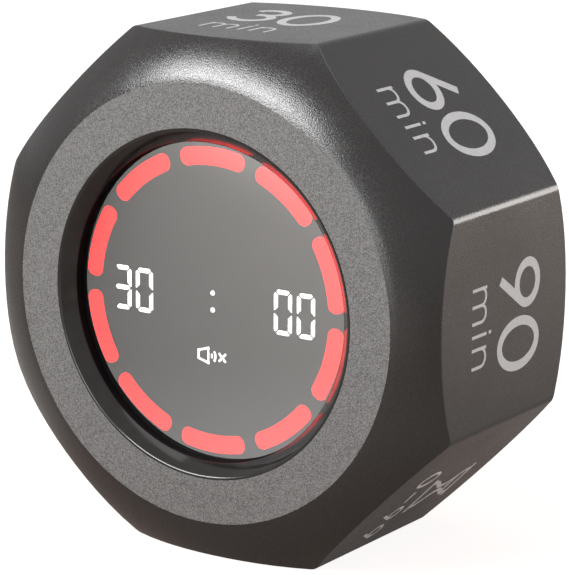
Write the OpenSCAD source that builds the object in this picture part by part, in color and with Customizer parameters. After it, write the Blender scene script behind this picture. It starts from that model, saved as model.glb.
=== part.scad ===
// Octagonal flip timer. It stands on any of its eight sides, and the side that is down picks the time.
// A round lit display faces -Y. Buttons, loudspeaker and charging port are in the back.
// Millimetres, Z up. The origin is the middle of the side that it stands on.

/* [Body] */
// Distance between opposite flat sides
across_flats = 64; // [60:0.5:80]
// Depth from the face ring to the back
thickness = 35; // [33:0.5:50]
// Radius of the eight long edges
corner_round = 1.3; // [0.6:0.1:3]
// Width of the turned shoulder at the middle of a side
dome_span = 5; // [4.2:0.1:6]
// Radius of the shoulder's arc
dome_r = 18; // [16.5:0.5:24]
// Slope of the shoulder where it leaves the flat face, in degrees
dome_crease = 20; // [14:1:24]
// Least wall behind a flat side
side_wall = 2.7; // [2.4:0.1:3.2]
// Wall behind the face ring
front_wall = 2; // [1.6:0.1:2.4]
// Wall round the display pocket
collar_wall = 1.7; // [1.2:0.1:2.4]
// Shelf that the display seats on
shelf_t = 2; // [1.4:0.1:2.6]
// Diameter of the four screw pillars
pillar_d = 5.6; // [4.4:0.1:6]
// Thickness of the ribs that tie the pillars to the sides
pillar_rib = 1.6; // [1:0.1:2.4]

/* [Front trim] */
// Thickness of the face ring
ring_t = 1.2; // [0.8:0.1:1.4]
// Rim of the body round the face ring
ring_rim = 0.15; // [0.1:0.05:0.4]
// Width of the bezel's front lip
bezel_lip = 0.2; // [0.1:0.05:0.5]
// Width of the bezel's slope
bezel_run = 1.7; // [1:0.1:2]
// Depth of the bezel's slope
bezel_drop = 1.8; // [1.2:0.1:2.2]
// Depth of the whole bezel
bezel_h = 2.8; // [2.4:0.1:3.2]
// Flange that holds the bezel under the face ring
bezel_flange = 1.3; // [0.8:0.1:1.6]
// Thickness of the clear lens
lens_t = 0.3; // [0.2:0.1:0.9]

/* [Display] */
// Minutes shown
minutes = 30; // [0:1:99]
// Number of progress bars
bar_count = 10; // [6:1:12]
// Diameter of the circle through the middle of the bars
bar_ring_d = 35.4; // [34:0.1:36.6]
// Width of a bar
bar_w = 2.2; // [1.6:0.1:2.8]
// Gap between two bars
bar_gap = 1.8; // [0.8:0.1:3]
// Corner radius of a bar
bar_round = 1; // [0.3:0.05:1.1]
// Space from the bars to the bezel
panel_margin = 0.8; // [0.3:0.05:1.2]
// Height of a digit
digit_h = 5.48; // [4:0.02:7]
// Width of a digit
digit_w = 2.56; // [2.2:0.02:3.2]
// Space between the two digits of a pair
digit_space = 0.7; // [0.3:0.02:1]
// Space from the digits to the bars
digit_margin = 1.9; // [1.2:0.05:3]
// Width of a segment
segment_w = 0.56; // [0.5:0.02:0.9]
// Gap between two segments
segment_gap = 0.2; // [0.1:0.01:0.3]
// Depth of a segment's pointed end
segment_tip = 0.2; // [0.1:0.02:0.4]
// Diameter of a colon dot
colon_d = 0.6; // [0.5:0.02:1.2]
// Distance between the colon dots
colon_pitch = 2.1; // [1.6:0.05:3]
// Distance of the mute sign below the middle
mute_drop = 6.78; // [5:0.02:9]
// Height of the mute sign's horn
horn_h = 2.1; // [1.6:0.02:3]
// Length of the mute sign's horn
horn_l = 1.7; // [1.4:0.05:2.2]
// Height of the horn's narrow end
horn_neck_h = 1.25; // [1:0.05:1.5]
// Radius of the mute sign's wave
wave_r = 0.95; // [0.8:0.05:1.2]
// Size of the mute sign's cross
cross_size = 1.2; // [0.8:0.02:1.6]
// Space between the pieces of the mute sign
mute_space = 0.27; // [0.2:0.01:0.5]
// Stroke of the mute sign
mute_stroke = 0.26; // [0.2:0.02:0.4]

/* [Light unit] */
// Thickness of the display mask
mask_t = 0.8; // [0.6:0.05:1.2]
// Skin of the mask over a segment that is off, and under the mute sign
mask_skin = 0.25; // [0.15:0.05:0.35]
// Rim of the reflector outside the bars
reflector_rim = 1; // [0.5:0.05:1.2]
// Step by which the reflector seats behind the shelf
reflector_step = 1.2; // [0.8:0.1:1.6]
// Depth of the reflector
reflector_h = 4.4; // [3.6:0.1:6]
// Ledge in the reflector that a lit piece seats on
well_ledge = 0.06; // [0.04:0.01:0.15]
// Diameter of the reflector's three pins
pin_d = 2; // [1.4:0.1:2.6]
// Distance of the reflector's pins from the middle
pin_ring_r = 12; // [11:0.1:13]
// Length of a pin behind the board
pin_proud = 0.6; // [0.3:0.1:1]
// Thickness of both circuit boards
board_t = 1.2; // [0.8:0.1:1.6]
// Rim of both circuit boards outside the header
board_rim = 0.3; // [0.2:0.05:1]
// Length of a light chip
chip_l = 0.9; // [0.6:0.05:1]
// Width of a light chip
chip_w = 0.3; // [0.2:0.05:0.45]
// Height of a light chip
chip_h = 0.4; // [0.3:0.05:0.8]

/* [Chassis and battery] */
// Length of the battery
battery_l = 32; // [26:0.5:33]
// Width of the battery
battery_w = 24; // [18:0.5:25]
// Height of the battery
battery_h = 6.5; // [4:0.1:8]
// Thickness of the tape under the battery
tape_t = 0.5; // [0.2:0.1:1]
// Clearance round the battery
battery_fit = 0.3; // [0.2:0.05:0.6]
// Wall round the battery
chassis_wall = 1.2; // [0.8:0.1:1.4]
// Floor under the battery
chassis_floor = 1.2; // [0.8:0.1:2]
// Height of the ring that holds the light board
chassis_ring_h = 1.4; // [1.2:0.1:2]
// Width of the ring that holds the light board
chassis_ring_w = 2; // [1.2:0.1:3]
// Wall of the forks round the pillars
fork_wall = 1.3; // [1:0.1:1.6]
// Width of a battery tab
tab_w = 3; // [2:0.1:4]
// Thickness of a battery tab
tab_t = 0.3; // [0.2:0.05:0.5]
// Distance of a battery tab from the middle
tab_offset = 5; // [3:0.1:9]
// Distance of a battery tab from the battery's edge
tab_inset = 1.5; // [0.5:0.1:3]
// Number of header pins
header_count = 5; // [3:1:6]
// Distance between header pins
header_pitch = 2; // [1.27:0.01:2.1]
// Diameter of a header pin
header_pin_d = 0.7; // [0.5:0.05:0.8]
// Width of the header block
header_w = 2; // [1.6:0.1:2.2]
// Height of the header block
header_h = 2.5; // [1.6:0.1:4]
// Least space from the battery's wall to the header
header_space = 0.5; // [0.3:0.05:0.6]
// Side of the microcontroller
controller_side = 7; // [4:0.1:8]
// Side of the tilt sensor
tilt_side = 3; // [2:0.1:3.2]
// Distance of the tilt sensor from the middle
tilt_rise = 17; // [16.4:0.1:18]
// Height of both chips on the main board
package_h = 0.9; // [0.6:0.05:1.2]

/* [Back] */
// Wall of the rear cover
back_wall = 2; // [1.8:0.1:2.2]
// Height of the rear cover's rim
cover_rise = 2.4; // [2.3:0.05:2.7]
// Step that draws the seam round the rear cover
seam_step = 0.3; // [0.1:0.05:0.5]
// Height of the rear cover's lip
lip_h = 2; // [1.4:0.1:2.2]
// Thickness of the rear cover's lip
lip_w = 1.2; // [0.8:0.1:1.4]
// Length of the rear cover's screw posts
post_h = 3; // [2.7:0.1:4]
// Diameter of the rear cover's four board stops
stop_d = 3; // [2:0.1:3.6]
// Distance of the board stops in from the board's edge
stop_inset = 2; // [1.8:0.1:3]
// Angle of the board stops above and below the middle, in degrees
stop_angle = 20; // [16:1:26]
// Diameter of a button
button_d = 6.4; // [5:0.1:6.6]
// Distance between buttons
button_pitch = 9; // [8.8:0.1:9.4]
// Distance of the buttons above the middle
button_rise = 14.5; // [14:0.1:15]
// How far a button moves
button_travel = 0.5; // [0.2:0.05:0.6]
// How far a button lies below the back
button_recess = 0.3; // [0:0.05:0.6]
// Width of a button's flange
button_flange_w = 0.6; // [0.5:0.05:0.9]
// Thickness of a button's flange
button_flange_t = 0.8; // [0.6:0.05:1.2]
// Diameter of a button's stem
stem_d = 3; // [2:0.1:3.4]
// Length of a button's stem
stem_l = 3; // [2:0.1:4]
// Side of a switch
switch_side = 5.2; // [4.5:0.1:5.4]
// Height of a switch
switch_h = 3.5; // [3:0.1:5]
// Diameter of a switch's plunger
plunger_d = 3.4; // [2:0.1:3.6]
// Length of the plunger inside the switch
plunger_l = 1.2; // [0.8:0.1:1.6]
// Clearance under a plunger that is pressed right in
plunger_spare = 0.1; // [0.05:0.05:0.3]
// Diameter of the loudspeaker
speaker_d = 18; // [14:0.5:19]
// Depth of the loudspeaker's frame
speaker_h = 4; // [3:0.1:4.4]
// Distance of the loudspeaker below the middle
speaker_drop = 2; // [1:0.1:2.4]
// Wall of the loudspeaker's frame
speaker_wall = 1; // [0.6:0.1:1.4]
// Width of the frame's ledge under the diaphragm
speaker_ledge = 1; // [0.6:0.1:1.6]
// Depth of the diaphragm in the frame
diaphragm_depth = 0.8; // [0.5:0.1:1.2]
// Thickness of the diaphragm
diaphragm_t = 0.3; // [0.2:0.05:0.5]
// Diameter of the loudspeaker's magnet
magnet_d = 10; // [6:0.5:11]
// Height of the loudspeaker's magnet
magnet_h = 2; // [1:0.1:2.4]
// Diameter of a contact spring
contact_d = 0.8; // [0.5:0.1:1.2]
// Thickness of the dust mesh
mesh_t = 0.2; // [0.1:0.05:0.4]
// Wall of the loudspeaker's seat
seat_wall = 1; // [0.8:0.1:1.2]
// Height of the loudspeaker's seat
seat_h = 2.5; // [1.5:0.1:3]
// Diameter of a sound hole
sound_hole_d = 1.2; // [0.8:0.1:1.5]
// Distance between rings of sound holes
sound_pitch = 2.4; // [2:0.1:2.8]
// Rings of sound holes
sound_rings = 2; // [1:1:2]
// Width of the charging port
port_w = 8.94; // [8.8:0.02:9.1]
// Height of the charging port
port_h = 3.26; // [3.1:0.02:3.4]
// Wall of the charging port
port_wall = 0.3; // [0.2:0.05:0.4]
// Base of the charging port
port_base = 2.4; // [1.5:0.1:4]
// Distance of the charging port below the middle
port_drop = 16.5; // [15.6:0.1:17.5]
// How far the port's mouth lies below the back
port_recess = 0.4; // [0:0.1:0.8]
// Width of the port's tongue
tongue_w = 6.7; // [6:0.1:7]
// Thickness of the port's tongue
tongue_t = 0.7; // [0.5:0.05:0.8]
// How far the tongue lies inside the port's mouth
tongue_recess = 0.8; // [0.4:0.1:1.5]
// Diameter of a screw's thread
screw_d = 1.9; // [1.6:0.1:2.4]
// Length of a screw under its head
screw_l = 8; // [6:0.5:12]
// Diameter of a screw's head
head_d = 3.8; // [3.2:0.1:4]
// Height of a screw's head
head_h = 1.3; // [1:0.1:1.6]
// How far a screw's head lies below the back
head_sink = 0.4; // [0.1:0.1:0.6]

/* [Fits] */
// Clearance round pieces that slip in
slip_fit = 0.1; // [0.05:0.01:0.2]
// Clearance round pieces that are bonded in
bond_fit = 0.05; // [0.03:0.01:0.1]
// Clearance round the lit pieces in the mask
inlay_fit = 0.03; // [0.02:0.005:0.05]
// Clearance round moving buttons and plungers
button_fit = 0.2; // [0.1:0.05:0.3]
// Clearance round the charging port
port_fit = 0.2; // [0.1:0.05:0.4]
// Clearance round a screw's head and in its post
screw_fit = 0.2; // [0.1:0.05:0.4]
// Clearance of a screw in its pillar, and of a pin in its board
hole_fit = 0.05; // [0.03:0.01:0.15]
// Space between the boards and the pillars
board_space = 0.4; // [0.2:0.05:0.8]

/* [Hidden] */
$fn = 96;
small_fn = 24;
sides = 8;
screw_count = 4;
cut = 1;
// Depth by which a bar's corner arcs cross its long arcs, so that they meet in clear points
graze = 0.01;

// Outline of the body
corner_angle = 180 / sides;
apothem = across_flats / 2;
land_r = apothem - dome_span;
dome_rise = dome_r * cos(dome_crease);
dome_centre_r = land_r - dome_r * sin(dome_crease);
dome_centre_z = thickness / 2 - dome_rise;
cavity_r = apothem - side_wall;
ring_r = land_r - ring_rim;
seam_r = dome_centre_r + sqrt(pow(dome_r, 2) - pow(dome_rise - cover_rise, 2)) - seam_step;

// Radii of the display, from the bars outwards
bar_r = bar_ring_d / 2;
bar_inner_r = bar_r - bar_w / 2;
bar_outer_r = bar_r + bar_w / 2;
throat_r = bar_outer_r + panel_margin;
mouth_r = throat_r + bezel_run + bezel_lip;
flange_r = mouth_r + bezel_flange;
pocket_r = flange_r + slip_fit;
neck_r = bar_outer_r + reflector_rim;
shelf_hole_r = neck_r + slip_fit;

// Boards, with the header between the battery and their edge
frame_l = battery_l + 2 * battery_fit;
frame_w = battery_w + 2 * battery_fit;
header_l = header_count * header_pitch;
header_reach = frame_l / 2 + chassis_wall + header_space + header_w;
board_r = max(neck_r + reflector_step, norm([header_reach, header_l / 2]) + board_rim);
header_x = sqrt(pow(board_r - board_rim, 2) - pow(header_l / 2, 2)) - header_w / 2;
pillar_r = pillar_d / 2;
pillar_at = board_r + board_space + pillar_r;

// Depths behind the face
lens_depth = bezel_h - lens_t;
mask_depth = bezel_h;
shelf_depth = mask_depth + mask_t;
shelf_back = shelf_depth + shelf_t;
hollow_depth = ring_t + front_wall;
led_board_depth = shelf_depth + reflector_h;
chassis_depth = led_board_depth + board_t;
floor_depth = chassis_depth + chassis_ring_h;
tape_depth = floor_depth + chassis_floor;
battery_depth = tape_depth + tape_t;
battery_back = battery_depth + battery_h;

// Heights above the back
seam_height = cover_rise;
post_end = back_wall + post_h;
flange_end = back_wall + button_flange_t;
stem_end = flange_end + stem_l;
switch_top = stem_end + button_travel;
plunger_end = switch_top + plunger_l;
bore_end = plunger_end + button_travel + plunger_spare;
board_back = switch_top + switch_h;
board_front = board_back + board_t;
frame_start = back_wall + mesh_t;
frame_end = frame_start + speaker_h;
diaphragm_end = frame_start + diaphragm_depth + diaphragm_t;
head_end = head_sink + head_h;
screw_end = head_end + screw_l;

// Places on the face
digit_pitch = digit_w + digit_space;
pair_x = bar_inner_r - digit_margin - (digit_pitch + digit_w) / 2;
digit_x = [for (side = [-1, 1], place = [-1, 1]) side * pair_x + place * digit_pitch / 2];
digits = [floor(minutes / 10), minutes % 10, 0, 0];
horn_x = -mute_space - mute_stroke - horn_l / 2;
wave_x = horn_x + horn_l / 2 + mute_space + mute_stroke / 2;
arc_x = wave_x + mute_stroke + mute_space;
cross_x = arc_x + mute_stroke / 2 + mute_space + cross_size / 2;
mute_w = cross_x + cross_size / 2 - horn_x + horn_l / 2;
bar_corner = min(bar_round, bar_w / 2 - inlay_fit);
dot_chip = min(chip_w, 1.2 * (colon_d / 2 - well_ledge));
bar_end = 180 / bar_count - asin((bar_gap / 2 + bar_corner) / bar_r);

// Places on the boards
pin_angles = [90, 225, 315];
button_x = [-button_pitch, 0, button_pitch];
stop_at = board_r - stop_inset;
stop_angles = [stop_angle, 180 - stop_angle, 180 + stop_angle, -stop_angle];
seat_r = speaker_d / 2 + slip_fit;
contact_x = speaker_d / 2 - speaker_wall - contact_d / 2;

// Segments of 0 to 9: top, upper right, lower right, bottom, lower left, upper left, middle
PATTERNS = [
  [1, 1, 1, 1, 1, 1, 0],
  [0, 1, 1, 0, 0, 0, 0],
  [1, 1, 0, 1, 1, 0, 1],
  [1, 1, 1, 1, 0, 0, 1],
  [0, 1, 1, 0, 0, 1, 1],
  [1, 0, 1, 1, 0, 1, 1],
  [1, 0, 1, 1, 1, 1, 1],
  [1, 1, 1, 0, 0, 0, 0],
  [1, 1, 1, 1, 1, 1, 1],
  [1, 1, 1, 1, 0, 1, 1]
];

// Outlines of the three kinds of segment, with their sides moved out by grow
mitre = segment_gap / sqrt(2);
middle_tip = digit_w / 2 - segment_tip;

function flat_segment(grow) =
  let (
    a = digit_w / 2 + grow,
    b = digit_h / 2 + grow,
    s = segment_w + 2 * grow,
    k = segment_tip + grow,
    q = mitre - grow * sqrt(2)
  )
  [
    [2 * k + q - a, b], [a - 2 * k - q, b], [a - k - q, b - k],
    [a - s - q, b - s], [s + q - a, b - s], [k + q - a, b - k]
  ];

function upright_segment(grow) =
  let (
    a = digit_w / 2 + grow,
    b = digit_h / 2 + grow,
    s = segment_w + 2 * grow,
    k = segment_tip + grow,
    q = mitre - grow * sqrt(2),
    foot = segment_gap - grow,
    slope = middle_tip + 2 * mitre - grow * sqrt(2)
  )
  [
    [a, b - 2 * k - q], [a - k, b - k - q], [a - s, b - s - q],
    [a - s, slope - a + s], [min(slope - foot, a - graze), foot], [a, foot]
  ];

function middle_segment(grow) =
  let (h = segment_w / 2 + grow, t = middle_tip + grow * sqrt(2))
  [[-t, 0], [h - t, h], [t - h, h], [t, 0], [t - h, -h], [h - t, -h]];

// Turns the working frame, with the display along +Z, so that the body stands on a side
module stand() {
  translate([0, 0, apothem]) rotate([90, 0, 0]) children();
}

// Extrudes an outline between two depths behind the face
module from_face(start, end) {
  translate([0, 0, thickness / 2 - end]) linear_extrude(end - start) children();
}

// Extrudes an outline between two heights above the back
module from_back(start, end) {
  translate([0, 0, start - thickness / 2]) linear_extrude(end - start) children();
}

module ring(inner, outer) {
  difference() {
    circle(outer);
    circle(inner);
  }
}

module sector(inner, outer, angle) {
  reach = 2 * outer;
  intersection() {
    ring(inner, outer);
    polygon([[0, 0], [reach, -reach * tan(angle)], [reach, reach * tan(angle)]]);
  }
}

module slot(w, h) {
  square([w - h, h], center = true);
  for (side = [-1, 1]) translate([side * (w - h) / 2, 0]) circle(h / 2);
}

// Straight stroke with square ends between two points
module stroke(start, end, w) {
  run = end - start;
  translate(start) rotate(atan2(run[1], run[0])) translate([-w / 2, -w / 2]) square([norm(run) + w, w]);
}

module at_pillars() {
  for (i = [0:screw_count - 1]) rotate(i * 360 / screw_count) translate([pillar_at, 0]) children();
}

module at_header_pins() {
  for (i = [0:header_count - 1])
    translate([-header_x, (i - (header_count - 1) / 2) * header_pitch]) children();
}

module at_pins() {
  for (angle = pin_angles) rotate(angle) translate([pin_ring_r, 0]) children();
}

// Eight-sided outline with rounded corners
module octagon() {
  inset = (apothem - corner_round) / cos(corner_angle);
  polygon([
    for (i = [0:sides - 1], side = [-1, 1])
      let (corner = (2 * i + 1) * corner_angle, normal = corner + side * corner_angle)
      inset * [cos(corner), sin(corner)] + corner_round * [cos(normal), sin(normal)]
  ]);
  for (i = [0:sides - 1]) rotate((2 * i + 1) * corner_angle) translate([inset, 0]) circle(corner_round);
}

// Turned shape that gives the body a flat face and an arched shoulder at +Z
module turned_face() {
  wide = dome_centre_r + dome_r + cut;
  rotate_extrude() {
    translate([0, -thickness]) square([dome_centre_r, 1.5 * thickness]);
    translate([0, -thickness]) square([wide, thickness + dome_centre_z]);
    intersection() {
      translate([dome_centre_r, dome_centre_z]) circle(dome_r);
      translate([0, -thickness]) square([wide, 1.5 * thickness]);
    }
  }
}

// Body and rear cover in one piece
module blank() {
  intersection() {
    linear_extrude(thickness, center = true) octagon();
    turned_face();
    mirror([0, 0, 1]) turned_face();
  }
}

module bar(grow) {
  inner = bar_inner_r - grow;
  outer = bar_outer_r + grow;
  corner = bar_corner + grow;
  low = inner + corner - graze;
  high = outer - corner + graze;
  sector(inner, outer, bar_end);
  for (side = [0, 1]) mirror([0, side]) rotate(bar_end) {
    translate([low, 0]) square([high - low, corner - graze]);
    for (r = [low, high]) translate([r, 0]) circle(corner, $fn = small_fn);
  }
}

module bars(grow) {
  for (i = [0:bar_count - 1]) rotate(90 + i * 360 / bar_count) bar(grow);
}

module segment(i, grow) {
  if (i == 0) polygon(flat_segment(grow));
  if (i == 1) polygon(upright_segment(grow));
  if (i == 2) mirror([0, 1]) polygon(upright_segment(grow));
  if (i == 3) mirror([0, 1]) polygon(flat_segment(grow));
  if (i == 4) rotate(180) polygon(upright_segment(grow));
  if (i == 5) mirror([1, 0]) polygon(upright_segment(grow));
  if (i == 6) polygon(middle_segment(grow));
}

module segments(lit, grow) {
  for (n = [0:len(digits) - 1], i = [0:6])
    if (PATTERNS[digits[n]][i] == lit) translate([digit_x[n], 0]) segment(i, grow);
}

module colon(grow) {
  for (side = [-1, 1])
    translate([0, side * colon_pitch / 2]) circle(colon_d / 2 + grow, $fn = small_fn);
}

// Horn, two waves and a cross
module mute(grow) {
  w = mute_stroke + 2 * grow;
  left = horn_x - horn_l / 2 + mute_stroke / 2;
  right = horn_x + horn_l / 2 - mute_stroke / 2;
  neck = (horn_neck_h - mute_stroke) / 2;
  mouth = (horn_h - mute_stroke) / 2;
  arm = (cross_size - mute_stroke / sqrt(2)) / 2 - mute_stroke / sqrt(8);
  translate([0, -mute_drop]) {
    stroke([left, -neck], [left, neck], w);
    stroke([right, -mouth], [right, mouth], w);
    for (side = [-1, 1]) {
      stroke([left, side * neck], [right, side * mouth], w);
      stroke([cross_x - arm, -side * arm], [cross_x + arm, side * arm], w);
    }
    stroke([wave_x, -mute_stroke / 2], [wave_x, mute_stroke / 2], w);
    translate([arc_x - wave_r, 0]) sector(wave_r - w / 2, wave_r + w / 2, 40 + grow / wave_r * 180 / PI);
  }
}

module body_shell() {
  color("dimgray") stand() difference() {
    union() {
      difference() {
        intersection() {
          blank();
          from_face(-cut, thickness - seam_height) circle(across_flats);
        }
        from_face(hollow_depth, thickness) circle(cavity_r);
      }
      from_face(hollow_depth - cut / 2, shelf_back) circle(pocket_r + collar_wall);
      from_face(hollow_depth - cut / 2, thickness - post_end) at_pillars() {
        circle(pillar_r);
        translate([0, -pillar_rib / 2]) square([cavity_r - pillar_at + cut, pillar_rib]);
      }
    }
    from_face(-cut, ring_t) circle(ring_r);
    from_face(0, shelf_depth) circle(pocket_r);
    from_face(0, shelf_back + cut) circle(shelf_hole_r);
    from_back(0, screw_end + cut / 2) at_pillars() circle(screw_d / 2 + hole_fit, $fn = small_fn);
  }
}

module face_ring() {
  color("gray") stand() from_face(0, ring_t) ring(mouth_r + bond_fit, ring_r - bond_fit);
}

module bezel() {
  top = thickness / 2;
  color("black") stand() rotate_extrude() polygon([
    [throat_r, top - bezel_h], [flange_r, top - bezel_h], [flange_r, top - ring_t], [mouth_r, top - ring_t],
    [mouth_r, top], [mouth_r - bezel_lip, top], [throat_r, top - bezel_drop]
  ]);
}

module cover_lens() {
  color("lightgray", 0.3) stand() from_face(lens_depth, mask_depth) circle(throat_r - bond_fit);
}

module display_mask() {
  color("gray") stand() difference() {
    from_face(mask_depth, shelf_depth) circle(flange_r);
    from_face(mask_depth - cut, shelf_depth + cut) {
      bars(inlay_fit);
      segments(1, inlay_fit);
      colon(inlay_fit);
    }
    from_face(mask_depth + mask_skin, shelf_depth + cut) segments(0, inlay_fit);
    from_face(mask_depth - cut, shelf_depth - mask_skin) mute(inlay_fit);
  }
}

module progress_bars() {
  color("salmon") stand() from_face(mask_depth, shelf_depth) bars(0);
}

module lit_segments() {
  color("white") stand() from_face(mask_depth, shelf_depth) segments(1, 0);
}

module unlit_segments() {
  color("darkgray") stand() from_face(mask_depth + mask_skin, shelf_depth) segments(0, 0);
}

module colon_dots() {
  color("white") stand() from_face(mask_depth, shelf_depth) colon(0);
}

module mute_sign() {
  color("white") stand() from_face(mask_depth, shelf_depth - mask_skin) mute(0);
}

module reflector() {
  color("white") stand() difference() {
    union() {
      from_face(shelf_depth, shelf_back) circle(neck_r);
      from_face(shelf_back, led_board_depth) circle(board_r);
      from_face(led_board_depth - cut, chassis_depth + pin_proud) at_pins() circle(pin_d / 2, $fn = small_fn);
    }
    from_face(shelf_depth - cut, led_board_depth + cut) {
      bars(-well_ledge);
      segments(1, -well_ledge);
      segments(0, -well_ledge);
      colon(-well_ledge);
      translate([0, -mute_drop]) square([mute_w, horn_h], center = true);
    }
  }
}

module led_board() {
  color("darkgreen") stand() from_face(led_board_depth, chassis_depth) difference() {
    circle(board_r);
    at_pins() circle(pin_d / 2 + hole_fit, $fn = small_fn);
    at_header_pins() circle(header_pin_d / 2 + hole_fit, $fn = small_fn);
  }
}

module led_chips() {
  chip = [chip_l, chip_w];
  color("khaki") stand() from_face(led_board_depth - chip_h, led_board_depth) {
    for (i = [0:bar_count - 1], side = [-1, 1])
      rotate(90 + i * 360 / bar_count + side * bar_end / 2) translate([bar_r, 0]) square(chip, center = true);
    for (x = digit_x) translate([x, 0]) {
      for (row = [-1, 0, 1]) translate([0, row * (digit_h - segment_w) / 2]) square(chip, center = true);
      for (column = [-1, 1], row = [-1, 1])
        translate([column * (digit_w - segment_w) / 2, row * digit_h / 4]) rotate(90) square(chip, center = true);
    }
    for (side = [-1, 1]) {
      translate([0, side * colon_pitch / 2]) square(dot_chip, center = true);
      translate([side * mute_w / 4, -mute_drop]) square(chip, center = true);
    }
  }
}

module chassis() {
  fork_r = pillar_r + slip_fit;
  color("black") stand() difference() {
    union() {
      from_face(chassis_depth, floor_depth + chassis_floor / 2)
        ring(board_r - 2 * chassis_ring_w, board_r - chassis_ring_w);
      from_face(floor_depth, tape_depth) intersection() {
        union() {
          circle(board_r);
          at_pillars() circle(fork_r + fork_wall);
        }
        circle(cavity_r - board_space);
      }
      from_face(floor_depth, thickness - board_front) difference() {
        square([frame_l + 2 * chassis_wall, frame_w + 2 * chassis_wall], center = true);
        square([frame_l, frame_w], center = true);
      }
    }
    from_face(floor_depth - cut, tape_depth + cut) at_pillars() {
      circle(fork_r);
      translate([0, -pillar_rib / 2 - slip_fit]) square([cavity_r, pillar_rib + 2 * slip_fit]);
    }
    from_face(chassis_depth - cut, tape_depth + cut) translate([-header_x, 0])
      square([header_w + 2 * slip_fit, header_l + 2 * slip_fit], center = true);
  }
}

module battery_tape() {
  color("ivory") stand() from_face(tape_depth, battery_depth) square([battery_l, battery_w], center = true);
}

module battery() {
  color("silver") stand() from_face(battery_depth, battery_back) square([battery_l, battery_w], center = true);
}

module battery_tabs() {
  color("gainsboro") stand() from_face(battery_back, thickness - board_front)
    for (side = [-1, 1])
      translate([side * tab_offset, battery_w / 2 - tab_inset]) square([tab_w, tab_t], center = true);
}

module header_block() {
  color("black") stand() from_face(chassis_depth, chassis_depth + header_h) difference() {
    translate([-header_x, 0]) square([header_w, header_l], center = true);
    at_header_pins() circle(header_pin_d / 2 + hole_fit, $fn = small_fn);
  }
}

module header_pins() {
  color("gold") stand() from_face(led_board_depth, thickness - board_back)
    at_header_pins() circle(header_pin_d / 2, $fn = small_fn);
}

module main_board() {
  color("darkgreen") stand() from_back(board_back, board_front) difference() {
    circle(board_r);
    at_header_pins() circle(header_pin_d / 2 + hole_fit, $fn = small_fn);
  }
}

module microcontroller() {
  color("black") stand() from_back(board_front, board_front + package_h) square(controller_side, center = true);
}

module tilt_sensor() {
  color("black") stand() from_back(board_front, board_front + package_h)
    translate([0, tilt_rise]) square(tilt_side, center = true);
}

module switch_bodies() {
  color("black") stand() for (x = button_x) translate([x, button_rise]) difference() {
    from_back(switch_top, board_back) square(switch_side, center = true);
    from_back(switch_top - cut, bore_end) circle(plunger_d / 2 + button_fit / 2, $fn = small_fn);
  }
}

module plunger(x) {
  color("white") stand() translate([x, button_rise]) from_back(stem_end, plunger_end)
    circle(plunger_d / 2, $fn = small_fn);
}

module plus_plunger() {
  plunger(button_x[2]);
}

module minus_plunger() {
  plunger(button_x[0]);
}

module sound_plunger() {
  plunger(button_x[1]);
}

module button(x) {
  color("gray") stand() translate([x, button_rise]) {
    from_back(button_recess, back_wall) circle(button_d / 2);
    from_back(back_wall, flange_end) circle(button_d / 2 + button_flange_w);
    from_back(flange_end, stem_end) circle(stem_d / 2, $fn = small_fn);
  }
}

module plus_button() {
  button(button_x[2]);
}

module minus_button() {
  button(button_x[0]);
}

module sound_button() {
  button(button_x[1]);
}

module port_shell() {
  color("silver") stand() translate([0, -port_drop]) difference() {
    from_back(port_recess, board_back) slot(port_w, port_h);
    from_back(port_recess - cut, board_back - port_base) slot(port_w - 2 * port_wall, port_h - 2 * port_wall);
  }
}

module port_tongue() {
  color("black") stand() translate([0, -port_drop])
    from_back(port_recess + tongue_recess, board_back - port_base) square([tongue_w, tongue_t], center = true);
}

module speaker_frame() {
  bowl_r = speaker_d / 2 - speaker_wall;
  color("dimgray") stand() translate([0, -speaker_drop]) difference() {
    from_back(frame_start, frame_end) circle(speaker_d / 2);
    from_back(frame_start - cut, diaphragm_end) circle(bowl_r);
    from_back(frame_start, frame_end - speaker_wall) circle(bowl_r - speaker_ledge);
  }
}

module speaker_magnet() {
  color("silver") stand() translate([0, -speaker_drop])
    from_back(frame_end, frame_end + magnet_h) circle(magnet_d / 2);
}

module speaker_diaphragm() {
  color("black") stand() translate([0, -speaker_drop])
    from_back(diaphragm_end - diaphragm_t, diaphragm_end) circle(speaker_d / 2 - speaker_wall - slip_fit);
}

module speaker_contacts() {
  color("gold") stand() translate([0, -speaker_drop]) from_back(frame_end, board_back)
    for (side = [-1, 1]) translate([side * contact_x, 0]) circle(contact_d / 2, $fn = small_fn);
}

module speaker_mesh() {
  color("black") stand() translate([0, -speaker_drop])
    from_back(back_wall, frame_start) circle(speaker_d / 2);
}

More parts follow.
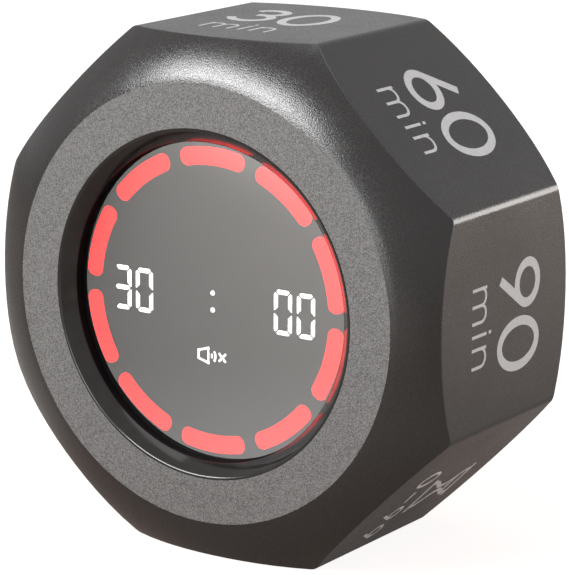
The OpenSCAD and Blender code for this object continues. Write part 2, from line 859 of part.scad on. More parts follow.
module rear_cover() {
  lip_r = cavity_r - slip_fit;
  root = back_wall - cut / 2;
  color("dimgray") stand() difference() {
    union() {
      difference() {
        intersection() {
          blank();
          from_back(-cut, seam_height) circle(seam_r);
        }
        from_back(back_wall, seam_height + cut) circle(lip_r - lip_w);
      }
      from_back(root, seam_height + lip_h) ring(lip_r - lip_w, lip_r);
      from_back(root, post_end) intersection() {
        at_pillars() circle(pillar_r);
        circle(lip_r);
      }
      from_back(root, board_back)
        for (angle = stop_angles) rotate(angle) translate([stop_at, 0]) circle(stop_d / 2, $fn = small_fn);
      from_back(root, back_wall + seat_h) translate([0, -speaker_drop]) ring(seat_r, seat_r + seat_wall);
    }
    from_back(-cut, head_end) at_pillars() circle(head_d / 2 + screw_fit);
    from_back(0, post_end + cut) at_pillars() circle(screw_d / 2 + screw_fit, $fn = small_fn);
    from_back(-cut, back_wall + cut) {
      for (x = button_x) translate([x, button_rise]) circle(button_d / 2 + button_fit);
      translate([0, -port_drop]) slot(port_w + 2 * port_fit, port_h + 2 * port_fit);
      translate([0, -speaker_drop]) {
        circle(sound_hole_d / 2, $fn = small_fn);
        for (n = [1:sound_rings], i = [0:6 * n - 1])
          rotate(i * 60 / n) translate([n * sound_pitch, 0]) circle(sound_hole_d / 2, $fn = small_fn);
      }
    }
  }
}

module rear_screws() {
  color("silver") stand() at_pillars() {
    from_back(head_sink, head_end) circle(head_d / 2);
    from_back(head_end, screw_end) circle(screw_d / 2, $fn = small_fn);
  }
}

body_shell();
face_ring();
bezel();
cover_lens();
display_mask();
progress_bars();
lit_segments();
unlit_segments();
colon_dots();
mute_sign();
reflector();
led_board();
led_chips();
chassis();
battery_tape();
battery();
battery_tabs();
header_block();
header_pins();
main_board();
microcontroller();
tilt_sensor();
switch_bodies();
plus_plunger();
minus_plunger();
sound_plunger();
plus_button();
minus_button();
sound_button();
port_shell();
port_tongue();
speaker_frame();
speaker_magnet();
speaker_diaphragm();
speaker_contacts();
speaker_mesh();
rear_cover();
rear_screws();
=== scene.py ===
"""Looks of an octagonal flip timer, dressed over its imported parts.

The frame is the parts' own: X to the right, Y towards the back, Z up. The timer's classes hold their
sizes in millimetres, and Datum turns them into places in metres. The studio's sizes are in metres.
"""

import logging
import math
from dataclasses import dataclass, field
from enum import Enum
from typing import Any, Callable, Sequence

import bmesh
import bpy
from mathutils import Matrix, Vector
from mathutils.geometry import tessellate_polygon


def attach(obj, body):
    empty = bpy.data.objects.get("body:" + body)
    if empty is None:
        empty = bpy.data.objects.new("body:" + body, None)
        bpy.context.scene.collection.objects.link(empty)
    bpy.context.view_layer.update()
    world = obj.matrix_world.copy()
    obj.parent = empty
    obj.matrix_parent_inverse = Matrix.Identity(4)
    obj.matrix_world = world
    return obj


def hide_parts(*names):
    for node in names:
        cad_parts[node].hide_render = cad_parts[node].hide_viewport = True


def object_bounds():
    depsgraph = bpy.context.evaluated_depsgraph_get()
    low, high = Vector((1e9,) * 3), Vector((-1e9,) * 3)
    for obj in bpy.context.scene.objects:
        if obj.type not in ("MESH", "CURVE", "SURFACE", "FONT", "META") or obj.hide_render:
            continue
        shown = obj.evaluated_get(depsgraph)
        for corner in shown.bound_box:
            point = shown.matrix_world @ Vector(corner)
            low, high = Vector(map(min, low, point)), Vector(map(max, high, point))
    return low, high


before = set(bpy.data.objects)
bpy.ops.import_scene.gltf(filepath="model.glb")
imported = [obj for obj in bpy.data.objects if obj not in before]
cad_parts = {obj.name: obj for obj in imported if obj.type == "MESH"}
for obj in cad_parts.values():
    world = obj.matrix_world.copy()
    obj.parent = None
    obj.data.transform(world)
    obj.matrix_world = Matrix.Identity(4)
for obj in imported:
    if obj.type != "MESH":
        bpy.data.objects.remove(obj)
cad_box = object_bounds()

MM = 0.001
PHOTO_HEIGHT = 575
HOUSING = "housing"
TURN_STEPS = 192
POSTS = 4
WELD = 0.0005 * MM
MITRE_LIMIT = 0.4
SOFT = "SMOOTHSTEP"
# Least and most of a worn surface's roughness, as shares of its own.
WORN = (0.7, 1.3)
# Socket numbers of the Mix node, for colours and for plain values.
MIX_FACTOR, MIX_A, MIX_B, MIX_COLOUR = 0, 6, 7, 2
MIX_LOW, MIX_HIGH, MIX_VALUE = 2, 3, 0

log = logging.getLogger("flip_timer")

Point2 = tuple[float, float]
Point3 = tuple[float, float, float]
Place = Callable[[float, float, float], Vector]
Tree = bpy.types.NodeTree
Socket = bpy.types.NodeSocket


def linear(hex_colour: str) -> tuple[float, float, float, float]:
    """Turns an sRGB hex colour into linear light.

    Args:
        hex_colour: Colour as #rrggbb.

    Returns:
        Linear red, green and blue, with an alpha of 1.
    """
    channels = [int(hex_colour[i:i + 2], 16) / 255 for i in (1, 3, 5)]
    lit = [c / 12.92 if c <= 0.04045 else ((c + 0.055) / 1.055) ** 2.4 for c in channels]
    return (lit[0], lit[1], lit[2], 1.0)


def per_metre(size_mm: float) -> float:
    """Returns the texture scale at which one repeat of a pattern measures size_mm."""
    return 1 / (size_mm * MM)


def add_node(tree: Tree, kind: str, sockets: dict[str | int, Any] | None = None,
             **settings: Any) -> bpy.types.Node:
    """Adds a node with its settings, and fills its sockets.

    Args:
        tree: Node tree that takes the node.
        kind: Blender's name for the node type, without its ShaderNode prefix.
        sockets: Value, or output socket that feeds it, by input name or number.
        **settings: Properties of the node.

    Returns:
        The new node.
    """
    node = tree.nodes.new("ShaderNode" + kind)
    for name, value in settings.items():
        setattr(node, name, value)
    for name, value in (sockets or {}).items():
        if isinstance(value, bpy.types.NodeSocket):
            tree.links.new(value, node.inputs[name])
        else:
            node.inputs[name].default_value = value
    return node


def spot(tree: Tree) -> Socket:
    """Returns the place on the object, which every pattern starts from."""
    return add_node(tree, "TexCoord").outputs["Object"]


def noise(tree: Tree, where: Socket, size_mm: float, detail: float = 2.0, roughness: float = 0.5) -> Socket:
    """Returns a noise whose lumps measure size_mm."""
    sockets = {"Vector": where, "Scale": per_metre(size_mm), "Detail": detail, "Roughness": roughness}
    return add_node(tree, "TexNoise", sockets).outputs["Fac"]


def reckon(tree: Tree, operation: str, *values: Any) -> Socket:
    """Returns the result of a math operation on values or sockets."""
    return add_node(tree, "Math", dict(enumerate(values)), operation=operation).outputs["Value"]


def ramp(tree: Tree, value: Socket, start: float, end: float, low: float = 0.0, high: float = 1.0,
         kind: str = "LINEAR") -> Socket:
    """Returns the run of values from start to end mapped onto low to high, and held at both ends."""
    sockets = {"Value": value, "From Min": start, "From Max": end, "To Min": low, "To Max": high}
    return add_node(tree, "MapRange", sockets, interpolation_type=kind).outputs["Result"]


def blend(tree: Tree, factor: Any, first: Any, second: Any, mode: str = "MIX") -> Socket:
    """Returns the mix of two colours, each a socket or linear light."""
    sockets = {MIX_FACTOR: factor, MIX_A: first, MIX_B: second}
    return add_node(tree, "Mix", sockets, data_type="RGBA", blend_type=mode).outputs[MIX_COLOUR]


def between(tree: Tree, factor: Socket, low: Any, high: Any) -> Socket:
    """Returns the value that lies a share of the way from low to high."""
    return add_node(tree, "Mix", {MIX_FACTOR: factor, MIX_LOW: low, MIX_HIGH: high}).outputs[MIX_VALUE]


def worn(tree: Tree, pattern: Socket, roughness: float) -> Socket:
    """Returns a roughness that varies with a pattern."""
    return ramp(tree, pattern, 0.0, 1.0, *(roughness * share for share in WORN))


def dents(tree: Tree, pattern: Socket, depth_mm: float) -> Socket:
    """Returns the normals of a surface that a pattern dents."""
    return add_node(tree, "Bump", {"Height": pattern, "Distance": depth_mm * MM}).outputs["Normal"]


def seen_ray(tree: Tree, gloss_share: float = 1.0) -> Socket:
    """Tells the rays that show the surroundings from those that only light the timer.

    Args:
        tree: Node tree that takes the nodes.
        gloss_share: What a mirrored ray counts.

    Returns:
        A socket that is 1 for rays from the camera or through clear pieces.
    """
    path = add_node(tree, "LightPath").outputs
    gloss = reckon(tree, "MULTIPLY", path["Is Glossy Ray"], gloss_share)
    direct = reckon(tree, "MAXIMUM", path["Is Camera Ray"], gloss)
    return reckon(tree, "MAXIMUM", direct, path["Is Transmission Ray"])


@dataclass(frozen=True)
class Finish:
    """A surface: what it is made of and how it was made."""

    name: str

    def material(self) -> bpy.types.Material:
        """Makes the finish's material on the first call.

        Returns:
            The material.
        """
        made = bpy.data.materials.get(self.name)
        if made is None:
            made = bpy.data.materials.new(self.name)
            made.use_nodes = True
            made.node_tree.nodes.clear()
            surface = self.shade(made.node_tree)
            add_node(made.node_tree, "OutputMaterial", {"Surface": surface})
        return made

    def shade(self, tree: Tree) -> Socket:
        """Adds the finish's nodes and returns the shader that they end in."""
        raise NotImplementedError


@dataclass(frozen=True)
class MouldedPlastic(Finish):
    """Moulded plastic that carries the grain of its tool as fine pits and a speckled tone.

    A spark-eroded tool leaves pits of about 0.1 mm. They are drawn up to three times as coarse, because
    the render shows nothing finer.
    """

    colour: str
    speckle: str
    grain_mm: float = 0.28
    pit_mm: float = 0.012
    cloud_mm: float = 9.0
    roughness: float = 0.45
    roughness_spread: float = 0.06
    specular: float = 0.5
    index: float = 1.53
    grain_share: float = 0.8
    tone_run: Point2 = (0.3, 0.7)
    gloss_run: Point2 = (0.35, 0.65)

    def shade(self, tree: Tree) -> Socket:
        """Speckles the colour and lets the gloss vary with the grain and, less, with broad clouds.

        Args:
            tree: Node tree of the material.

        Returns:
            The shader.
        """
        where = spot(tree)
        grain = noise(tree, where, self.grain_mm, detail=1.0, roughness=0.6)
        cloud = noise(tree, where, self.cloud_mm, detail=3.0)
        tone = ramp(tree, grain, *self.tone_run)
        fine = reckon(tree, "MULTIPLY", grain, self.grain_share)
        uneven = reckon(tree, "MULTIPLY_ADD", cloud, 1 - self.grain_share, fine)
        rough = ramp(tree, uneven, *self.gloss_run, self.roughness - self.roughness_spread,
                     self.roughness + self.roughness_spread)
        colour = blend(tree, tone, linear(self.colour), linear(self.speckle))
        return add_node(tree, "BsdfPrincipled", {
            "Base Color": colour, "Roughness": rough, "Normal": dents(tree, grain, self.pit_mm),
            "IOR": self.index, "Specular IOR Level": self.specular,
        }).outputs["BSDF"]


@dataclass(frozen=True)
class ClearSheet(Finish):
    """Clear moulded sheet with a half-mirror coat: a grey sheen over what is lit behind it.

    The coat's share of mirror grows from the upper left edge to the lower right one, fast at first, so that
    the display's grey sheen is brighter to the lower right: a painted gradient of reflected light. Only its
    outer face mirrors, and more so at a slant.
    """

    tint: str = "#f4fbff"
    coat: Point2 = (0.222, 0.585)
    half_width_mm: float = 20.0
    centre_mm: float = 32.0
    slant: float = 0.4
    swell: float = 0.5
    steepness: float = 3.0
    roughness: float = 0.03
    smear_mm: float = 14.0

    def shade(self, tree: Tree) -> Socket:
        """Mixes a mirror into clear plastic by the thickness of the coat.

        Args:
            tree: Node tree of the material.

        Returns:
            The shader.
        """
        where = spot(tree)
        smear = noise(tree, where, self.smear_mm, detail=4.0)
        gloss = add_node(tree, "BsdfGlossy", {"Color": linear(self.tint),
                                              "Roughness": worn(tree, smear, self.roughness)})
        apart = add_node(tree, "SeparateXYZ", {"Vector": where}).outputs
        # The mirror's share grows towards the lower right: a painted gradient of reflected light.
        slanted = reckon(tree, "MULTIPLY_ADD", apart["Z"], -self.slant, apart["X"])
        middle = -self.slant * self.centre_mm
        run = ramp(tree, slanted, (middle - self.half_width_mm) * MM, (middle + self.half_width_mm) * MM)
        coat = ramp(tree, reckon(tree, "POWER", run, self.swell), 0.0, 1.0, *self.coat)
        turned = add_node(tree, "LayerWeight", {"Blend": 0.5}).outputs["Facing"]
        outer = between(tree, reckon(tree, "POWER", turned, self.steepness), coat, 1.0)
        inner = add_node(tree, "NewGeometry").outputs["Backfacing"]
        clear = add_node(tree, "BsdfTransparent").outputs["BSDF"]
        sockets = {0: between(tree, inner, outer, 0.0), 1: clear, 2: gloss.outputs["BSDF"]}
        return add_node(tree, "MixShader", sockets).outputs["Shader"]


@dataclass(frozen=True)
class LitDiffuser(Finish):
    """Milky plastic lit from behind: even light, a little weaker in clouds."""

    light: str
    dim: str
    cloud_mm: float = 2.5
    strength: float = 1.9
    roughness: float = 0.5
    specular: float = 0.06

    def shade(self, tree: Tree) -> Socket:
        """Lets the plastic glow in its own colour.

        Args:
            tree: Node tree of the material.

        Returns:
            The shader.
        """
        glow = blend(tree, noise(tree, spot(tree), self.cloud_mm), linear(self.light), linear(self.dim))
        return add_node(tree, "BsdfPrincipled", {
            "Base Color": glow, "Roughness": self.roughness, "Specular IOR Level": self.specular,
            "Emission Color": glow, "Emission Strength": self.strength,
        }).outputs["BSDF"]


@dataclass(frozen=True)
class Metal(Finish):
    """Drawn, plated or turned metal with fine lines along one axis."""

    colour: str
    line_mm: float = 0.12
    line_scale: Point3 = (1.0, 0.04, 1.0)
    line_depth_mm: float = 0.004
    roughness: float = 0.3

    def shade(self, tree: Tree) -> Socket:
        """Draws the lines as shallow dents and as a change of gloss.

        Args:
            tree: Node tree of the material.

        Returns:
            The shader.
        """
        along = add_node(tree, "Mapping", {"Vector": spot(tree), "Scale": self.line_scale})
        lines = noise(tree, along.outputs["Vector"], self.line_mm, detail=3.0)
        return add_node(tree, "BsdfPrincipled", {
            "Base Color": linear(self.colour), "Metallic": 1.0,
            "Roughness": worn(tree, lines, self.roughness),
            "Normal": dents(tree, lines, self.line_depth_mm),
        }).outputs["BSDF"]


@dataclass(frozen=True)
class Woven(Finish):
    """Cloth, or glass cloth under lacquer: threads that cross, seen as a fine check."""

    colour: str
    gap: str
    thread_mm: float
    relief_mm: float
    roughness: float = 0.5

    def shade(self, tree: Tree) -> Socket:
        """Crosses two sets of threads.

        Args:
            tree: Node tree of the material.

        Returns:
            The shader.
        """
        threads = {"Vector": spot(tree), "Scale": per_metre(self.thread_mm) / math.tau}
        runs = [add_node(tree, "TexWave", threads, bands_direction=axis).outputs["Fac"] for axis in "XZ"]
        check = reckon(tree, "MULTIPLY", *runs)
        return add_node(tree, "BsdfPrincipled", {
            "Base Color": blend(tree, check, linear(self.gap), linear(self.colour)),
            "Roughness": self.roughness, "Normal": dents(tree, check, self.relief_mm),
        }).outputs["BSDF"]


class Finishes:
    """Every finish of the timer."""

    # Spark-eroded black ABS: matt, with a bright grainy sheen towards the light.
    BODY = MouldedPlastic("moulded_abs_fine_grain", "#222020", "#272524", grain_mm=0.15, pit_mm=0.02,
                          roughness=0.22, roughness_spread=0.12, specular=0.65)
    # The same ABS in grey, from a coarser tool: a salt-and-pepper grain.
    RING = MouldedPlastic("moulded_abs_coarse_grain", "#343332", "#7c7b7a", grain_mm=0.15, pit_mm=0.012,
                          roughness=0.55, specular=0.8)
    # Polished black ABS: a clean dark gloss that mirrors the lit bars.
    BEZEL = MouldedPlastic("polished_black_abs", "#211f1e", "#262423", grain_mm=2.4, pit_mm=0.002,
                           roughness=0.13, roughness_spread=0.03, specular=0.45)
    # Acrylic with a thin metal coat: the display looks grey, and lit pieces shine through.
    # Its mirror share is graded across the display, a painted gradient of reflected light.
    LENS = ClearSheet("half_mirror_acrylic_sheet")
    # A thin dead-black sheet with no shine, lining the throat above the lens: painted shade.
    PAINTED_SHADE_SEAL = MouldedPlastic("dead_black_painted_shade_seal", "#0b0b0b", "#111111", grain_mm=0.12, pit_mm=0.01,
                          roughness=0.9, specular=0.05)
    # Smoke-grey printed film: flat grey, with the faint mottle of its ink.
    MASK = MouldedPlastic("printed_smoke_film", "#181818", "#1d1d1d", grain_mm=0.5, pit_mm=0.0004,
                          roughness=0.4, specular=0.06)
    # Milky red acrylic with light behind it: salmon under the lens, a little weaker in clouds.
    RED_LIGHT = LitDiffuser("lit_red_acrylic", "#ff1414", "#fa0e0e")
    # The same in opal: plain white light.
    WHITE_LIGHT = LitDiffuser("lit_opal_acrylic", "#fffdfa", "#f4f2f0")
    # Opal acrylic with its light off: a dull dark grey.
    DIFFUSER = MouldedPlastic("unlit_opal_acrylic", "#3a3938", "#424140", pit_mm=0.002, roughness=0.4)
    # Pad-printed ink: pale grey and dull, thinner in places.
    INK = MouldedPlastic("pad_printed_ink", "#c0c1c3", "#cacbcd", grain_mm=0.5, pit_mm=0.004, roughness=0.6,
                         specular=0.25)
    # The same print made whiter and glossier for the lower side, which lies in shade: painted light.
    PAINTED_LIGHT_INK = MouldedPlastic("ink_brightened_painted_light", "#f2f2f3", "#f8f8f9", grain_mm=0.5, pit_mm=0.004,
                               roughness=0.3, specular=0.6)
    # Titanium-filled ABS: a dense, warm white that throws the light forward.
    REFLECTOR = MouldedPlastic("moulded_white_abs", "#e4e2dd", "#efede8", roughness=0.4)
    # Glass cloth pressed in resin, under green lacquer: a faint weave below a shine.
    BOARD = Woven("lacquered_glass_laminate", "#1f5a36", "#184a2c", thread_mm=0.5, relief_mm=0.006,
                  roughness=0.3)
    # Resin with phosphor cast over each chip: opaque yellow.
    CHIP = MouldedPlastic("cast_phosphor_resin", "#e2cf6b", "#efdd85", pit_mm=0.004, roughness=0.35)
    # Filled nylon: dull black, as on connectors and switches.
    BLACK = MouldedPlastic("moulded_black_nylon", "#1c1c1d", "#262627", roughness=0.5)
    # Open-cell foam: cream, with deep pores.
    TAPE = MouldedPlastic("open_cell_foam_tape", "#dcd8cc", "#bdb8a8", grain_mm=0.35, pit_mm=0.08,
                          roughness=0.9, specular=0.1)
    # Aluminium foil laminated with film: soft silver, slightly wrinkled.
    FOIL = Metal("laminated_battery_foil", "#b9bcc0", line_mm=1.6, line_scale=(1.0, 1.0, 1.0),
                 roughness=0.38)
    # Rolled nickel: warm silver with lines along the strip.
    NICKEL = Metal("rolled_nickel_strip", "#c9c5bb", roughness=0.32)
    # Brass with a thin gilt: yellow and bright.
    BRASS = Metal("gilt_brass", "#d9b45a", roughness=0.25)
    # Drawn steel: cool silver with draw lines.
    STEEL = Metal("drawn_steel_sheet", "#b8bbbf", roughness=0.28)
    # Nickel-plated magnet: a darker grey metal.
    MAGNET = Metal("plated_magnet", "#8f9296", roughness=0.35)
    # Blackened steel: dark grey, with a dull metal shine on its edges.
    SCREW = Metal("blackened_screw_steel", "#55565a", roughness=0.38)
    # Moulded rubber: a soft mid grey with hardly any shine.
    BUTTON = MouldedPlastic("moulded_button_rubber", "#575553", "#63615f", grain_mm=0.24, roughness=0.6,
                            specular=0.35)
    # Pressed paper pulp: brown-black and fibrous.
    CONE = MouldedPlastic("pressed_cone_paper", "#25231f", "#38352f", grain_mm=0.6, pit_mm=0.03,
                          roughness=0.85, specular=0.15)
    # Woven cloth: near black, with a fine check.
    CLOTH = Woven("woven_dust_cloth", "#2a2a2b", "#0b0b0b", thread_mm=0.3, relief_mm=0.06, roughness=0.8)


@dataclass(frozen=True)
class Datum:
    """The timer's turning axis, front plane and size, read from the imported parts, in millimetres."""

    apothem: float
    thickness: float
    front: float

    @classmethod
    def of_parts(cls) -> "Datum":
        """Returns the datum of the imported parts."""
        low, high = cad_box
        return cls((high.z - low.z) / 2 / MM, (high.y - low.y) / MM, low.y / MM)

    def face(self, across: float, up: float, depth: float) -> Vector:
        """Returns the place across and up from the axis, at a depth behind the front."""
        return Vector((across, self.front + depth, self.apothem + up)) * MM

    def side(self, facing: float) -> Place:
        """Finds the flat side that faces an angle.

        Args:
            facing: Angle round the axis, in radians.

        Returns:
            A mapping from (along, depth, height) on the side to a place.
        """
        out = Vector((math.cos(facing), 0, math.sin(facing)))
        along = Vector((math.sin(facing), 0, -math.cos(facing)))
        centre = Vector((0, self.front, self.apothem))

        def place(run: float, depth: float, height: float) -> Vector:
            """Returns the place on the side."""
            return (centre + out * (self.apothem + height) + along * run + Vector((0, depth, 0))) * MM

        return place


def put(name: str, data: bpy.types.ID) -> bpy.types.Object:
    """Puts a new object into the scene.

    Args:
        name: Name of the object.
        data: Its mesh, lamp or camera.

    Returns:
        The object.
    """
    made = bpy.data.objects.new(name, data)
    bpy.context.scene.collection.objects.link(made)
    return made


@dataclass
class Shape:
    """Points and faces of one piece while it is being made."""

    points: list[Vector] = field(default_factory=list)
    faces: list[tuple[int, ...]] = field(default_factory=list)

    def skin(self, loops: Sequence[Sequence[Vector]], wrap: bool = False, caps: bool = False) -> None:
        """Spans faces between closed loops of equal length.

        Args:
            loops: Loops of points, in order along the piece.
            wrap: Whether the last loop joins the first.
            caps: Whether the first and the last loop are each closed by a face.
        """
        start = len(self.points)
        count = len(loops[0])
        for loop in loops:
            self.points.extend(loop)
        for i in range(len(loops) if wrap else len(loops) - 1):
            low = start + i * count
            high = start + (i + 1) % len(loops) * count
            for j in range(count):
                k = (j + 1) % count
                self.faces.append((low + j, low + k, high + k, high + j))
        if caps:
            last = start + (len(loops) - 1) * count
            self.faces.append(tuple(range(start + count - 1, start - 1, -1)))
            self.faces.append(tuple(range(last, last + count)))

    def pierced(self, outer: Sequence[Vector], hole: Sequence[Vector]) -> None:
        """Fills a flat face between an outer loop and a hole.

        Args:
            outer: Loop round the face.
            hole: Loop round the hole.
        """
        start = len(self.points)
        self.points.extend(outer)
        self.points.extend(hole)
        for face in tessellate_polygon([list(outer), list(hole)]):
            self.faces.append(tuple(start + i for i in face))

    def piece(self, name: str, body: str, finish: Finish, slot: str, stands_for: Sequence[str] = (),
              crease: float = 30.0) -> bpy.types.Object:
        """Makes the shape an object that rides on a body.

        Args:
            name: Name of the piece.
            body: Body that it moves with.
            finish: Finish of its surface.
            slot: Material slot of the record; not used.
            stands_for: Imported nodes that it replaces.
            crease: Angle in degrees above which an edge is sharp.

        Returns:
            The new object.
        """
        mesh = bpy.data.meshes.new(name)
        mesh.from_pydata(self.points, [], self.faces)
        work = bmesh.new()
        work.from_mesh(mesh)
        bmesh.ops.remove_doubles(work, verts=work.verts, dist=WELD)
        bmesh.ops.recalc_face_normals(work, faces=work.faces)
        work.to_mesh(mesh)
        work.free()
        mesh.shade_smooth()
        mesh.set_sharp_from_angle(angle=math.radians(crease))
        mesh.materials.append(finish.material())
        made = put(name, mesh)
        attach(made, body)
        if stands_for:
            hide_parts(*stands_for)
        log.info("%s on %s: %d faces, %s", name, body, len(mesh.polygons), finish.name)
        return made


def dress(finish: Finish, *nodes: str) -> None:
    """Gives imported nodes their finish.

    Args:
        finish: Finish of the nodes.
        *nodes: Names of the nodes.
    """
    for node in nodes:
        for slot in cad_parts[node].material_slots:
            slot.material = finish.material()
        log.info("%s dressed in %s", node, finish.name)


def arc(centre: Point2, radius: float, start: float, end: float, steps: int = 16,
        rise: float | None = None) -> list[Point2]:
    """Returns points along an arc.

    Args:
        centre: Middle of the arc.
        radius: Radius, or half the width of an oval.
        start: First angle in degrees.
        end: Last angle in degrees.
        steps: Number of stretches.
        rise: Half the height of an oval.

    Returns:
        The points from start to end.
    """
    turns = [math.radians(start + (end - start) * i / steps) for i in range(steps + 1)]
    high = radius if rise is None else rise
    return [(centre[0] + radius * math.cos(t), centre[1] + high * math.sin(t)) for t in turns]


def circle(place: Place, radius: float, depth: float, steps: int) -> list[Vector]:
    """Returns a loop of places round a mapping's axis, at a depth along it."""
    return [place(x, y, depth) for x, y in arc((0.0, 0.0), radius, 0, 360, steps)[:-1]]


@dataclass(frozen=True)
class Stroke:
    """A printed line of even width."""

    path: list[Point2]
    width: float
    closed: bool = False

    def moved(self, across: float, up: float, scale: float = 1.0) -> "Stroke":
        """Returns the stroke moved and scaled, with its width kept."""
        return Stroke([(across + x * scale, up + y * scale) for x, y in self.path], self.width, self.closed)

    def turned_over(self, middle: Point2) -> "Stroke":
        """Returns the stroke turned half round a point."""
        path = [(2 * middle[0] - x, 2 * middle[1] - y) for x, y in self.path]
        return Stroke(path, self.width, self.closed)

    def edges(self) -> list[tuple[Point2, Point2]]:
        """Finds both edges of the line, mitred at its bends.

        Returns:
            The left and the right edge point at each point of the path.
        """
        path = [Vector(p) for p in self.path]
        found = []
        for i, here in enumerate(path):
            before = path[i - 1] if i or self.closed else here
            after = path[(i + 1) % len(path)] if i + 1 < len(path) or self.closed else here
            back = (here - before).normalized() if here != before else (after - here).normalized()
            ahead = (after - here).normalized() if here != after else back
            across = Vector((-back.y - ahead.y, back.x + ahead.x)).normalized()
            reach = self.width / 2 / max(MITRE_LIMIT, across.dot(Vector((-back.y, back.x))))
            found.append((tuple(here + across * reach), tuple(here - across * reach)))
        return found

    def ink(self, shape: Shape, place: Place, low: float, high: float) -> None:
        """Adds the stroke to a shape as a thin slab.

        Args:
            shape: Shape that takes the slab.
            place: Mapping from (across, up, height) to a place.
            low: Height of the slab's underside.
            high: Height of the slab's face.
        """
        loops = [[place(*left, high), place(*right, high), place(*right, low), place(*left, low)]
                 for left, right in self.edges()]
        shape.skin(loops, wrap=self.closed, caps=not self.closed)


# Strokes, and the width that they take.
Drawing = tuple[list[Stroke], float]


@dataclass(frozen=True)
class Numerals:
    """Plain round numerals, drawn with an even pen. Sizes are for the full height."""

    height: float = 10.0
    pen: float = 1.15
    gap: float = 0.8
    bowl_r: float = 3.05
    crown_r: float = 2.6
    zero_w: float = 6.6

    def digit(self, digit: str) -> Drawing:
        """Draws one digit on a baseline.

        Args:
            digit: The digit.

        Returns:
            Its strokes, and its width.
        """
        half = self.pen / 2
        top = self.height - half
        bowl = self.bowl_r - half
        if digit == "0":
            middle = (self.zero_w / 2, self.height / 2)
            ring = arc(middle, middle[0] - half, 0, 360, 48, middle[1] - half)[:-1]
            return [Stroke(ring, self.pen, True)], self.zero_w
        if digit in "69":
            middle = (self.bowl_r, self.bowl_r)
            tail = (4.3, top)
            lean = math.atan2(tail[1] - middle[1], tail[0] - middle[0])
            touch = lean + math.acos(bowl / math.dist(tail, middle))
            foot = (middle[0] + bowl * math.cos(touch), middle[1] + bowl * math.sin(touch))
            ring = arc(middle, bowl, 0, 360, 48)[:-1]
            drawn = [Stroke(ring, self.pen, True), Stroke([tail, foot], self.pen)]
            if digit == "9":
                drawn = [s.turned_over((self.bowl_r, self.height / 2)) for s in drawn]
            return drawn, 2 * self.bowl_r
        if digit == "1":
            return [Stroke([(0.5, self.height - 2.2), (2.2, top - 0.2), (2.2, 0)], self.pen)], 2.2 + half
        if digit == "2":
            hook = arc((2.95, top - bowl), bowl, 165, -38, 20)
            return [Stroke(hook + [(half, half), (5.8, half)], self.pen)], 5.9
        if digit == "3":
            small = self.crown_r - half
            upper = arc((2.85, top - small), small, 165, -90, 20) + [(2.2, top - 2 * small)]
            lower = [(2.2, half + 2 * bowl)] + arc((2.85, half + bowl), bowl, 90, -165, 22)
            return [Stroke(upper, self.pen), Stroke(lower, self.pen)], 5.9
        belly = arc((2.75, half + bowl), bowl, 128, -155, 24)
        return [Stroke([(5.2, top), (1.5, top)] + belly, self.pen)], 5.8

    def number(self, digits: str) -> Drawing:
        """Draws digits side by side.

        Args:
            digits: The digits.

        Returns:
            Their strokes, and their width.
        """
        strokes: list[Stroke] = []
        run = 0.0
        for digit in digits:
            drawn, wide = self.digit(digit)
            strokes += [s.moved(run, 0) for s in drawn]
            run += wide + self.gap
        return strokes, run - self.gap


class Mark(Enum):
    """What stands under a side's main sign."""

    MINUTES = "min"
    RANGE = "0-99"


